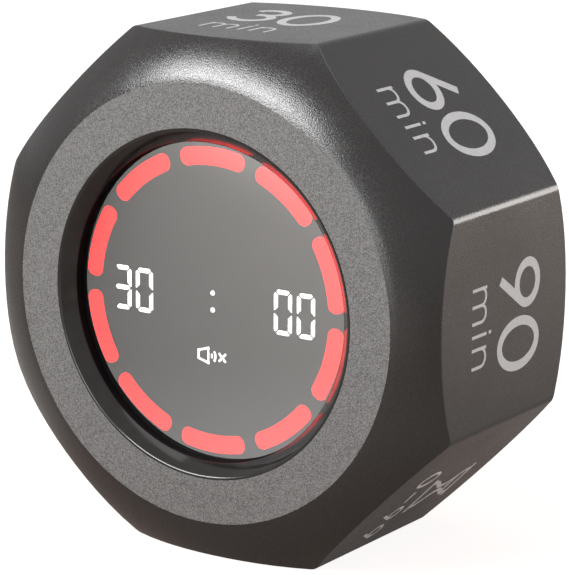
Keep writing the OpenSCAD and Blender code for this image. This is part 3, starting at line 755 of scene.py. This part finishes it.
@dataclass(frozen=True)
class SideMark:
    """The print on one flat side."""

    facing: float
    digits: str
    mark: Mark = Mark.MINUTES
    sign_at: Point2 = (0.0, 15.4)
    word_at: Point2 = (0.0, 9.4)
    word_pen: float = 0.39
    word_height: float = 3.3
    ink: Finish = Finishes.INK
    layers: int = 3
    # Depth of the ink, and of one of its layers, in thicknesses of the skin.
    ink_depth: float = 2.0
    layer_depth: float = 0.2
    gap: float = 1.2
    arches: Point2 = (2.0, 2.2)
    dot: Point2 = (0.75, 1.3)
    dash: float = 2.2

    def minutes(self) -> Drawing:
        """Draws the small unit word.

        Returns:
            Its strokes, and its width.
        """
        pen, gap = self.word_pen, self.gap
        narrow, broad = self.arches
        stem = pen / 2
        high = self.word_height - stem

        def arch(left: float, wide: float) -> list[Point2]:
            """Returns an arch that springs from a stem at left and ends in a stem."""
            round_r = wide / 2
            return arc((left + round_r, high - round_r), round_r, 180, 0, 12) + [(left + wide, 0)]

        def upright(at: float) -> list[Point2]:
            """Returns a stem."""
            return [(at, 0), (at, self.word_height)]

        paths = [upright(stem), arch(stem, narrow), arch(stem + narrow, narrow)]
        run = 2 * narrow + pen + gap + stem
        paths += [upright(run), [(run, high + end) for end in self.dot]]
        run += stem + gap + stem
        paths += [upright(run), arch(run, broad)]
        return [Stroke(path, pen) for path in paths], run + broad + stem

    def span(self) -> Drawing:
        """Draws the range of times.

        Returns:
            Its strokes, and its width.
        """
        small = Numerals()
        scale = self.word_height / small.height
        half = self.word_height / 2
        strokes: list[Stroke] = []
        run = 0.0
        for sign in self.mark.value:
            if sign == "-":
                strokes.append(Stroke([(run, half), (run + self.dash, half)], self.word_pen))
                run += self.dash + self.gap
                continue
            drawn, wide = small.digit(sign)
            strokes += [Stroke(s.path, self.word_pen, s.closed).moved(run, 0, scale) for s in drawn]
            run += wide * scale + self.gap
        return strokes, run - self.gap

    def hourglass(self) -> Drawing:
        """Draws a plain hourglass.

        Returns:
            Its strokes, and its width.
        """
        pen, wide, tall, waist, neck = 0.7, 7.0, 9.6, 0.55, 0.9
        sand_half, sand_drop, throat, shoulder, steps = 1.9, 2.2, 0.02, 0.4, 24
        low, high, middle = pen / 2, tall - pen / 2, wide / 2
        paths = [[(0, low), (wide, low)], [(0, high), (wide, high)]]
        for side in (-1, 1):
            glass = []
            for k in range(steps + 1):
                apart = abs(k / steps - 0.5)
                swell = (1 - math.cos(math.pi * max(0.0, apart - throat) / shoulder)) / 2
                if apart > shoulder:
                    swell = 1.0
                half = waist + (middle - neck - waist) * swell
                glass.append((middle + side * half, low + (high - low) * k / steps))
            paths.append(glass)
        paths.append([(middle - sand_half, high - sand_drop), (middle + sand_half, high - sand_drop)])
        return [Stroke(path, pen) for path in paths], wide

    def build(self, datum: Datum, skin: float) -> bpy.types.Object:
        """Prints the side.

        Args:
            datum: Datum of the parts.
            skin: How far the body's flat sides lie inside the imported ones.

        Returns:
            The printed piece.
        """
        shape = Shape()
        place = datum.side(math.radians(self.facing))
        sign = Numerals().number(self.digits) if self.digits else self.hourglass()
        word = self.minutes() if self.mark is Mark.MINUTES else self.span()
        for (strokes, wide), (across, depth) in ((sign, self.sign_at), (word, self.word_at)):
            for k, stroke in enumerate(strokes):
                # Strokes that cross lie at slightly different depths, so that no two faces coincide.
                sunk = k % self.layers * self.layer_depth * skin
                stroke.moved(across - wide / 2, depth).ink(shape, place, -self.ink_depth * skin, -sunk)
        name = f"print_{self.digits or 'hourglass'}_{self.mark.name.lower()}"
        return shape.piece(name, HOUSING, self.ink, "white_plastic")


@dataclass
class Housing:
    """The eight-sided body, turned at its front and back, and the prints on its sides."""

    datum: Datum
    sides: int = 8
    corner_round: float = 1.3
    shoulder_span: float = 5.0
    shoulder_r: float = 18.0
    shoulder_crease: float = 20.0
    edge_soft: float = 0.35
    skin: float = 0.02
    seam_height: float = 2.4
    ring_r: float = 26.85
    ring_t: float = 1.2
    inner_steps: tuple[Point2, ...] = (
        (29.3, 3.2), (24.6, 3.2), (24.6, 5.6), (19.9, 5.6), (19.9, 3.6), (22.9, 3.6))
    pillar_r: float = 2.8
    pillar_at: float = 24.2
    pillar_bore: float = 1.0
    pillar_ends: Point2 = (3.0, 30.0)
    pillar_steps: int = 32
    rib_t: float = 1.6
    rib_overlaps: Point2 = (0.4, 0.3)
    flat_steps: int = 6
    corner_steps: int = 8
    arc_steps: int = 14
    edge_steps: int = 6
    prints: tuple[SideMark, ...] = (
        SideMark(90, "30", sign_at=(-1.4, 15.5), word_at=(-1.8, 9.4)),
        SideMark(45, "60", sign_at=(-0.3, 15.3), word_at=(-0.7, 9.4)),
        SideMark(0, "90", sign_at=(0.8, 15.6), word_at=(0.55, 9.7)),
        # The lower side's print takes a brightened ink against its shade: painted light.
        SideMark(-45, "", Mark.RANGE, sign_at=(2.6, 16.8), word_at=(2.8, 10.4), word_pen=0.5,
                 word_height=4.6, ink=Finishes.PAINTED_LIGHT_INK),
        SideMark(-90, "5"), SideMark(-135, "10"), SideMark(180, "15"), SideMark(135, "20"),
    )

    def outline(self) -> list[Point2]:
        """Follows the eight flat sides and their rounded corners.

        Returns:
            The angle and radius of each point.
        """
        flat = self.datum.apothem - self.skin
        step = math.tau / self.sides
        inset = (flat - self.corner_round) / math.cos(step / 2)
        reach = (flat - self.corner_round) * math.tan(step / 2)
        found = []
        level = [(flat, reach * k / self.flat_steps) for k in range(-self.flat_steps, self.flat_steps + 1)]
        lean = math.degrees(step / 2)
        corner = arc((inset, 0.0), self.corner_round, -lean, lean, self.corner_steps)[1:-1]
        for i in range(self.sides):
            for facing, points in ((i * step, level), ((i + 0.5) * step, corner)):
                found += [(facing + math.atan2(y, x), math.hypot(x, y)) for x, y in points]
        return found

    def half_profile(self, radius: float, start: float) -> list[Point2]:
        """Follows the shoulder from an angle of its arc to the flat side.

        Args:
            radius: Radius of the flat side here.
            start: Angle of the arc at which to start, in radians.

        Returns:
            Radius and depth of each point.
        """
        land = self.datum.apothem - self.shoulder_span
        crease = math.radians(self.shoulder_crease)
        middle_r = land - self.shoulder_r * math.sin(crease)
        middle_d = self.shoulder_r * math.cos(crease)
        inner = self.shoulder_r - self.edge_soft
        lean = math.asin((radius - self.edge_soft - middle_r) / inner)
        soft_d = middle_d - inner * math.cos(lean)
        begin, bend = math.degrees(start) - 90, math.degrees(lean) - 90
        shoulder = arc((middle_r, middle_d), self.shoulder_r, begin, bend, self.arc_steps)
        edge = arc((radius - self.edge_soft, soft_d), self.edge_soft, bend, 0, self.edge_steps)
        return shoulder + edge[1:]

    def seam_turn(self) -> float:
        """Returns the angle of the rear shoulder's arc at which the rear cover starts."""
        rise = self.shoulder_r * math.cos(math.radians(self.shoulder_crease))
        return math.acos((rise - self.seam_height) / self.shoulder_r)

    def column(self, radius: float) -> list[Point2]:
        """Follows the body's whole section.

        Args:
            radius: Radius of the flat side here.

        Returns:
            Radius and depth of each point.
        """
        front = self.half_profile(radius, math.radians(self.shoulder_crease))
        rear = self.half_profile(radius, self.seam_turn())
        back = self.datum.thickness
        cavity = self.inner_steps[0][0]
        section = [(self.ring_r, self.ring_t), (self.ring_r, 0.0)] + front[1:]
        section += [(r, back - d) for r, d in reversed(rear)]
        section += [(cavity, back - self.seam_height)] + list(self.inner_steps)
        return section + [(self.inner_steps[-1][0], self.ring_t)]

    def pillars(self, shape: Shape) -> None:
        """Adds the four screw pillars and their ribs.

        Args:
            shape: Shape that takes them.
        """
        low, high = self.pillar_ends
        cavity = self.inner_steps[0][0]
        outer, bore = self.pillar_r, self.pillar_bore
        section = ((outer, low), (outer, high), (bore, high), (bore, low))
        half = self.rib_t / 2
        near = self.pillar_r - self.rib_overlaps[0]
        far = cavity - self.pillar_at + self.rib_overlaps[1]
        for i in range(POSTS):
            turn = Matrix.Rotation(i * math.tau / POSTS, 2)

            def place(x: float, y: float, depth: float) -> Vector:
                """Returns a place beside the pillar."""
                across, up = turn @ Vector((self.pillar_at + x, y))
                return self.datum.face(across, up, depth)

            shape.skin([circle(place, r, d, self.pillar_steps) for r, d in section], wrap=True)
            rib = ((near, -half), (far, -half), (far, half), (near, half))
            shape.skin([[place(x, y, d) for x, y in rib] for d in (low, high)], caps=True)

    def build(self) -> bpy.types.Object:
        """Builds the body and prints its sides.

        Returns:
            The body.
        """
        outline = self.outline()
        columns = [self.column(radius) for _, radius in outline]
        shape = Shape()
        turns = [(math.cos(angle), math.sin(angle)) for angle, _ in outline]
        shape.skin([[self.datum.face(r * c, r * s, d) for (r, d), (c, s) in zip(level, turns)]
                    for level in zip(*columns)], wrap=True)
        self.pillars(shape)
        body = shape.piece("body_moulding", HOUSING, Finishes.BODY, "body_plastic", ["body_shell"],
                           crease=28.0)
        even = body.modifiers.new("even_flats", "WEIGHTED_NORMAL")
        even.keep_sharp = True
        for mark in self.prints:
            mark.build(self.datum, self.skin)
        return body


@dataclass
class FaceTrim:
    """The face ring, the bezel, the lens and a thin dead-black seal of painted shade in its throat, each
    turned about the axis.
    """

    datum: Datum
    ring: Point2 = (21.38, 26.845)
    ring_t: float = 1.2
    ring_break: float = 0.02
    throat_r: float = 19.6
    mouth_r: float = 21.35
    lip: float = 0.2
    slope_drop: float = 1.5
    bezel_depth: float = 2.8
    flange_r: float = 22.8
    lip_round: float = 0.6
    edge_break: float = 0.08
    lens_r: float = 19.55
    lens_depths: Point2 = (2.58, 2.78)
    painted_shade_seal_t: float = 0.04
    lip_steps: int = 8
    # Where the middle of a broken edge lies, as a share of the break: on the ring, and in the throat.
    break_near: float = 0.3
    break_far: float = 0.7

    def turn(self, section: Sequence[Point2], disc: bool = False) -> Shape:
        """Turns a section about the axis.

        Args:
            section: Radius and depth of its points.
            disc: Whether both ends are filled, and not joined to make a ring.

        Returns:
            The turned shape.
        """
        shape = Shape()
        loops = [circle(self.datum.face, r, d, TURN_STEPS) for r, d in section]
        shape.skin(loops, wrap=not disc, caps=disc)
        return shape

    def build(self) -> None:
        """Builds the four pieces."""
        inner, outer = self.ring
        soft, cut = self.ring_break, self.ring_break * self.break_near
        self.turn([(inner, self.ring_t), (inner, soft), (inner + cut, cut), (inner + soft, 0.0),
                   (outer - soft, 0.0), (outer - cut, cut), (outer, soft), (outer, self.ring_t)]).piece(
            "face_ring_moulding", HOUSING, Finishes.RING, "ring_plastic", ["face_ring"], crease=15.0)
        soft, cut = self.edge_break, self.edge_break * self.break_far
        lip_r = self.mouth_r - self.lip
        fall = math.degrees(math.atan2(self.slope_drop, lip_r - self.throat_r))
        lip = arc((self.mouth_r, self.lip_round), self.lip_round, -90 - fall, -90, self.lip_steps)
        wall = self.slope_drop + soft
        self.turn([(self.throat_r, self.bezel_depth), (self.throat_r, wall),
                   (self.throat_r + cut, self.slope_drop - cut)] + lip
                  + [(self.mouth_r, self.ring_t), (self.flange_r, self.ring_t),
                     (self.flange_r, self.bezel_depth)]).piece(
            "bezel_moulding", HOUSING, Finishes.BEZEL, "bezel_gloss", ["bezel"], crease=40.0)
        front, back = self.lens_depths
        # The seal lines the throat wall above the lens in dead black: painted shade.
        seal_r = self.throat_r - self.painted_shade_seal_t
        self.turn([(seal_r, front), (seal_r, wall), (self.throat_r, wall), (self.throat_r, front)]).piece(
            "lens_painted_shade_seal", HOUSING, Finishes.PAINTED_SHADE_SEAL, "bezel_gloss", crease=40.0)
        section = ((self.lens_r - soft, front), (self.lens_r, front + soft), (self.lens_r, back))
        self.turn(section, disc=True).piece(
            "lens_sheet", HOUSING, Finishes.LENS, "clear_lens", ["cover_lens"], crease=25.0)


class Display:
    """The smoked mask and the lit pieces in it."""

    def dress(self) -> None:
        """Gives the display's nodes their finishes."""
        dress(Finishes.MASK, "display_mask")
        dress(Finishes.RED_LIGHT, "progress_bars")
        dress(Finishes.WHITE_LIGHT, "lit_segments", "colon_dots", "mute_sign")
        dress(Finishes.DIFFUSER, "unlit_segments")


class Inside:
    """Everything that the housing hides."""

    def dress(self) -> None:
        """Gives the inner nodes their finishes."""
        dress(Finishes.REFLECTOR, "reflector", "plus_plunger", "minus_plunger", "sound_plunger")
        dress(Finishes.BOARD, "led_board", "main_board")
        dress(Finishes.CHIP, "led_chips")
        dress(Finishes.BLACK, "chassis", "header_block", "microcontroller", "tilt_sensor", "switch_bodies",
              "speaker_frame", "port_tongue")
        dress(Finishes.TAPE, "battery_tape")
        dress(Finishes.FOIL, "battery")
        dress(Finishes.NICKEL, "battery_tabs")
        dress(Finishes.BRASS, "header_pins", "speaker_contacts")
        dress(Finishes.MAGNET, "speaker_magnet")
        dress(Finishes.CONE, "speaker_diaphragm")
        dress(Finishes.CLOTH, "speaker_mesh")


class Sign(Enum):
    """What a button's print says."""

    PLUS = "plus"
    MINUS = "minus"
    SOUND = "sound"


@dataclass
class Button:
    """A round rubber button with a shallow dish and a printed sign."""

    datum: Datum
    sign: Sign
    across: float
    up: float = 14.5
    radius: float = 3.2
    recess: float = 0.3
    back_wall: float = 2.0
    flange_r: float = 3.8
    flange_end: float = 2.8
    stem_r: float = 1.5
    stem_end: float = 5.8
    edge_round: float = 0.35
    dish: float = 0.12
    print_size: float = 2.6
    print_pen: float = 0.42
    fine_pen: float = 0.336
    ink_sink: float = 0.05
    ink_rise: float = 0.03
    rim_steps: int = 5
    dish_steps: int = 6
    steps: int = 64

    def place(self, x: float, y: float, sink: float) -> Vector:
        """Returns the place beside the button's axis, at a depth below the back."""
        return self.datum.face(self.across + x, self.up + y, self.datum.thickness - sink)

    def strokes(self) -> list[Stroke]:
        """Draws the sign about the button's middle, as it is read from behind.

        Returns:
            Its strokes.
        """
        half, pen = self.print_size / 2, self.print_pen
        bar = Stroke([(-half, 0), (half, 0)], pen)
        if self.sign is Sign.MINUS:
            return [bar]
        if self.sign is Sign.PLUS:
            return [bar, Stroke([(0, half), (0, pen / 2)], pen), Stroke([(0, -pen / 2), (0, -half)], pen)]
        horn = [(-1.25, -0.4), (-1.25, 0.4), (-0.75, 0.4), (-0.05, 1.0), (-0.05, -1.0), (-0.75, -0.4)]
        waves = [arc((-0.1, 0), 0.65, -45, 45, 8), arc((-0.1, 0), 1.25, -45, 45, 10)]
        return [Stroke(horn, self.fine_pen, True)] + [Stroke(wave, self.fine_pen) for wave in waves]

    def build(self) -> None:
        """Builds the button and its print, and rides both on the button's body."""
        body = self.sign.value
        shares = [k / self.dish_steps for k in range(1, self.dish_steps)]
        dish_r = self.radius - self.edge_round
        section = [(dish_r * s, self.recess + self.dish * (1 - s ** 2)) for s in shares]
        section += arc((dish_r, self.recess + self.edge_round), self.edge_round, -90, 0, self.rim_steps)
        section += [(self.radius, self.back_wall), (self.flange_r, self.back_wall),
                    (self.flange_r, self.flange_end), (self.stem_r, self.flange_end),
                    (self.stem_r, self.stem_end)]
        shape = Shape()
        shape.skin([circle(self.place, r, d, self.steps) for r, d in section], caps=True)
        shape.piece(f"{body}_button_cap", body, Finishes.BUTTON, "button_plastic", [f"{body}_button"],
                    crease=40.0)
        shape = Shape()
        face = self.recess + self.dish
        for stroke in self.strokes():
            stroke.ink(shape, lambda x, y, h: self.place(-x, y, face - h), -self.ink_sink, self.ink_rise)
        shape.piece(f"{body}_button_print", body, Finishes.INK, "white_plastic")


@dataclass
class Screws:
    """Four screws with a cross recess in each head."""

    datum: Datum
    at: float = 24.2
    head_r: float = 1.9
    head_sink: float = 0.4
    head_end: float = 1.7
    shank_r: float = 0.95
    shank_end: float = 9.7
    edge_round: float = 0.3
    recess_reach: float = 1.15
    recess_half: float = 0.24
    recess_depth: float = 0.6
    recess_taper: float = 0.8
    recess_point: float = 1.2
    twist: float = 0.3
    pitch: float = 0.45
    crest: float = 0.25
    root: float = 0.75
    thread_depth: float = 0.2
    tip_taper: float = 0.4
    rim_steps: int = 4
    steps: int = 48

    def cross(self) -> list[Point2]:
        """Draws the cross recess.

        Returns:
            Its outline.
        """
        reach, half = self.recess_reach, self.recess_half
        arm = [(reach, -half), (reach, half), (half, half)]
        found = []
        for k in range(4):
            c, s = round(math.cos(k * math.pi / 2)), round(math.sin(k * math.pi / 2))
            found += [(c * x - s * y, s * x + c * y) for x, y in arm]
        return found

    def build(self) -> None:
        """Builds the four screws as one piece."""
        shape = Shape()
        soft = self.edge_round
        section = arc((self.head_r - soft, self.head_sink + soft), soft, -90, 0, self.rim_steps)
        section += [(self.head_r, self.head_end), (self.shank_r, self.head_end)]
        for k in range(int((self.shank_end - self.head_end) / self.pitch)):
            base = self.head_end + k * self.pitch
            section += [(self.shank_r, base + self.pitch * self.crest),
                        (self.shank_r - self.thread_depth, base + self.pitch * self.root)]
        section.append((self.shank_r - self.tip_taper, self.shank_end))
        for i in range(POSTS):
            turn = Matrix.Rotation(i * math.tau / POSTS + self.twist, 2)
            middle = Matrix.Rotation(i * math.tau / POSTS, 2) @ Vector((self.at, 0))

            def place(x: float, y: float, sink: float) -> Vector:
                """Returns a place beside the screw's axis, at a depth below the back."""
                across, up = middle + turn @ Vector((x, y))
                return self.datum.face(across, up, self.datum.thickness - sink)

            loops = [circle(place, r, d, self.steps) for r, d in section]
            hole = [place(x, y, self.head_sink) for x, y in self.cross()]
            shape.pierced(loops[0], hole)
            floor = [place(x * self.recess_taper, y * self.recess_taper, self.head_sink + self.recess_depth)
                     for x, y in self.cross()]
            shape.skin([hole, floor])
            point = len(shape.points)
            shape.points.append(place(0, 0, self.head_sink + self.recess_depth * self.recess_point))
            first = point - len(floor)
            for k in range(len(floor)):
                shape.faces.append((first + k, first + (k + 1) % len(floor), point))
            shape.skin(loops)
            last = len(shape.points) - self.steps
            shape.faces.append(tuple(range(last, last + self.steps)))
        shape.piece("rear_screws_crosshead", HOUSING, Finishes.SCREW, "screw_steel", ["rear_screws"],
                    crease=30.0)


@dataclass
class Back:
    """The rear cover with its buttons, screws and charging port."""

    datum: Datum
    button_pitch: float = 9.0
    port_drop: float = 16.5
    tongue_w: float = 6.7
    tongue_t: float = 0.7
    tongue_start: float = 1.2
    contact_count: int = 12
    contact_w: float = 0.26
    contact_l: float = 3.6
    contact_inset: float = 0.3
    contact_sink: float = 0.05
    contact_rise: float = 0.03

    def contacts(self) -> None:
        """Builds the gilt contacts on both faces of the port's tongue."""
        shape = Shape()
        pitch = self.tongue_w / (self.contact_count + 1)
        start = self.tongue_start + self.contact_inset
        ends = (start, start + self.contact_l)
        half = self.contact_w / 2
        for side in (-1, 1):
            low = side * (self.tongue_t / 2 - self.contact_sink)
            high = side * (self.tongue_t / 2 + self.contact_rise)
            for k in range(self.contact_count):
                middle = (k - (self.contact_count - 1) / 2) * pitch
                shape.skin([[self.datum.face(middle + x, -self.port_drop + y, self.datum.thickness - sink)
                             for x, y in ((-half, low), (half, low), (half, high), (-half, high))]
                            for sink in ends], caps=True)
        shape.piece("port_contacts", HOUSING, Finishes.BRASS, "gilt_brass")

    def build(self) -> None:
        """Dresses the cover and builds what sits in it."""
        dress(Finishes.BODY, "rear_cover")
        dress(Finishes.STEEL, "port_shell")
        self.contacts()
        for sign, place in ((Sign.MINUS, -1), (Sign.SOUND, 0), (Sign.PLUS, 1)):
            Button(self.datum, sign, place * self.button_pitch).build()
        Screws(self.datum).build()


@dataclass(frozen=True)
class Lamp:
    """A soft box that points at the timer's middle."""

    name: str
    way: Point3
    distance: float
    size: Point2
    power: float
    colour: str = "#ffffff"

    def build(self, target: Vector) -> None:
        """Hangs the lamp and points it at a place.

        Args:
            target: The place.
        """
        light = bpy.data.lights.new(self.name, "AREA")
        light.shape = "RECTANGLE"
        light.size, light.size_y = self.size
        light.energy = self.power
        light.color = linear(self.colour)[:3]
        lamp = put(self.name, light)
        way = Vector(self.way).normalized()
        lamp.location = target + way * self.distance
        lamp.rotation_euler = way.to_track_quat("Z", "Y").to_euler()


@dataclass(frozen=True)
class PaleFloor(Finish):
    """Matt pale board with a light table let into it along the line of sight.

    The camera and mirrors see the lit band as white, apart from the timer's shadow. Beyond it the board
    is a plain pale grey, with paler patches to the right and in front, which are painted light. It is
    darker and browner close to the timer, which is painted shade. The timer's sides mirror both.
    """

    heading: float
    colour: str = "#9d9691"
    # Paler patches to the right and in front: painted light, which the timer's sides mirror.
    right: str = "#d8cdc6"
    painted_light_right_from: Point2 = (0.05, 0.12)
    front: str = "#cbc4be"
    painted_light_front_from: Point2 = (-0.09, -0.15)
    painted_light_front_across: Point2 = (0.04, -0.06)
    # Darker, browner board round the timer's base: painted shade, which its lower sides mirror.
    near: str = "#8d776d"
    painted_shade_near_to: Point2 = (0.03, 0.06)
    lift: float = 0.9
    mirrored: float = 0.12
    camera_distance: float = 0.36
    band: Point2 = (0.12, 0.32)
    fleck_mm: float = 1.5
    fleck_tone: Point2 = (0.98, 1.02)

    def ground(self, tree: Tree, where: Socket, across: Socket, along: Socket) -> Socket:
        """Mixes the board's colour from its patches of painted light and painted shade.

        Args:
            tree: Node tree of the material.
            where: Place on the floor.
            across: Distance to the right of the line of sight.
            along: Distance along the line of sight.

        Returns:
            The colour.
        """
        plain = blend(tree, ramp(tree, across, *self.painted_light_right_from, kind=SOFT), linear(self.colour),
                      linear(self.right))
        ahead = reckon(tree, "MULTIPLY", ramp(tree, across, *self.painted_light_front_across, kind=SOFT),
                       ramp(tree, along, *self.painted_light_front_from, kind=SOFT))
        plain = blend(tree, ahead, plain, linear(self.front))
        # Close to the timer the board turns darker and browner: painted shade.
        radius = add_node(tree, "VectorMath", {0: where}, operation="LENGTH").outputs["Value"]
        shown = blend(tree, ramp(tree, radius, *self.painted_shade_near_to, kind=SOFT), linear(self.near), plain)
        tone = ramp(tree, noise(tree, where, self.fleck_mm), 0.0, 1.0, *self.fleck_tone)
        return blend(tree, 1.0, shown, tone, "MULTIPLY")

    def shade(self, tree: Tree) -> Socket:
        """Adds light to the board in a band that widens behind the timer, as the view does.

        Args:
            tree: Node tree of the material.

        Returns:
            The shader.
        """
        where = spot(tree)
        turned = add_node(tree, "Mapping", {"Vector": where, "Rotation": (0.0, 0.0, -self.heading)})
        apart = add_node(tree, "SeparateXYZ", {"Vector": turned.outputs["Vector"]}).outputs
        across, along = apart["X"], apart["Y"]
        board = add_node(tree, "BsdfDiffuse", {"Color": self.ground(tree, where, across, along)})
        away = add_node(tree, "CombineXYZ", {"X": across, "Y": reckon(tree, "MINIMUM", along, 0.0)})
        far = add_node(tree, "VectorMath", {0: away.outputs["Vector"]}, operation="LENGTH").outputs["Value"]
        reach = reckon(tree, "ADD", reckon(tree, "MAXIMUM", along, 0.0), self.camera_distance)
        lit = ramp(tree, reckon(tree, "DIVIDE", far, reach), *self.band, self.lift, 0.0, kind=SOFT)
        glow = reckon(tree, "MULTIPLY", seen_ray(tree, self.mirrored), lit)
        light = add_node(tree, "Emission", {"Strength": glow})
        shaders = {0: board.outputs["BSDF"], 1: light.outputs["Emission"]}
        return add_node(tree, "AddShader", shaders).outputs["Shader"]


@dataclass
class Studio:
    """Floor, soft light, white surroundings and the camera of the photograph."""

    datum: Datum
    floor_r: float = 3.0
    floor_drop_mm: float = 0.01
    floor_steps: int = 64
    surround: float = 0.3
    seen_white: float = 0.54
    azimuth: float = 33.918
    elevation: float = 13.3
    roll: float = 0.167
    camera_at: Point3 = (0.20286, -0.30094, 0.11666)
    focal_pixels: float = 3010.0
    sensor: float = 36.0
    clip_start: float = 0.01
    lamps: tuple[Lamp, ...] = (
        Lamp("key_softbox", (-0.42, -0.76, 0.47), 0.65, (0.44, 0.19), 4.55),
        Lamp("front_fill", (-0.08, -0.98, 0.1), 0.65, (0.22, 0.22), 0.68),
        Lamp("top_softbox", (0.0, 0.1, 1.0), 0.8, (0.7, 0.7), 2.0),
        Lamp("rim_softbox", (0.6, 0.78, 0.15), 0.6, (0.56, 0.26), 2.6, "#fffaf6"),
    )

    def floor(self) -> None:
        """Lays the floor under the timer."""
        mesh = bpy.data.meshes.new("pale_floor")
        rim = arc((0.0, 0.0), self.floor_r, 0, 360, self.floor_steps)[:-1]
        points = [(x, y, -self.floor_drop_mm * MM) for x, y in rim]
        mesh.from_pydata(points, [], [tuple(range(self.floor_steps))])
        mesh.materials.append(PaleFloor("matt_board_light_table", math.radians(self.azimuth)).material())
        floor = put("pale_floor", mesh)

    def world(self) -> None:
        """Sets white surroundings for what is seen and a soft even light for the rest."""
        world = bpy.data.worlds.new("white_surroundings")
        world.use_nodes = True
        tree = world.node_tree
        tree.nodes.clear()
        strength = ramp(tree, seen_ray(tree), 0.0, 1.0, self.surround, self.seen_white)
        sky = add_node(tree, "Background", {"Color": linear("#ffffff"), "Strength": strength})
        add_node(tree, "OutputWorld", {"Surface": sky.outputs["Background"]})
        bpy.context.scene.world = world

    def camera(self) -> None:
        """Sets the camera where the photograph was taken from."""
        azimuth, elevation, roll = (math.radians(a) for a in (self.azimuth, self.elevation, self.roll))
        back = Vector((math.sin(azimuth) * math.cos(elevation), -math.cos(azimuth) * math.cos(elevation),
                       math.sin(elevation)))
        level = Vector((math.cos(azimuth), math.sin(azimuth), 0))
        upright = back.cross(level)
        right = level * math.cos(roll) + upright * math.sin(roll)
        up = upright * math.cos(roll) - level * math.sin(roll)
        data = bpy.data.cameras.new("photo_camera")
        data.sensor_width = self.sensor
        data.lens = self.focal_pixels / PHOTO_HEIGHT * self.sensor
        data.clip_start = self.clip_start
        camera = put("photo_camera", data)
        turn = Matrix((right, up, back)).transposed().to_4x4()
        camera.matrix_world = Matrix.Translation(self.camera_at) @ turn
        bpy.context.scene.camera = camera

    def build(self) -> None:
        """Builds the studio."""
        self.camera()
        self.floor()
        self.world()
        target = self.datum.face(0, 0, self.datum.thickness / 2)
        for lamp in self.lamps:
            lamp.build(target)
        bpy.context.scene.view_settings.view_transform = "Standard"


def main() -> None:
    """Builds the timer's looks and the studio."""
    logging.basicConfig(level=logging.INFO, format="%(name)s: %(message)s")
    datum = Datum.of_parts()
    Studio(datum).build()
    Housing(datum).build()
    FaceTrim(datum).build()
    Display().dress()
    Inside().dress()
    Back(datum).build()


if __name__ == "__main__":
    main()
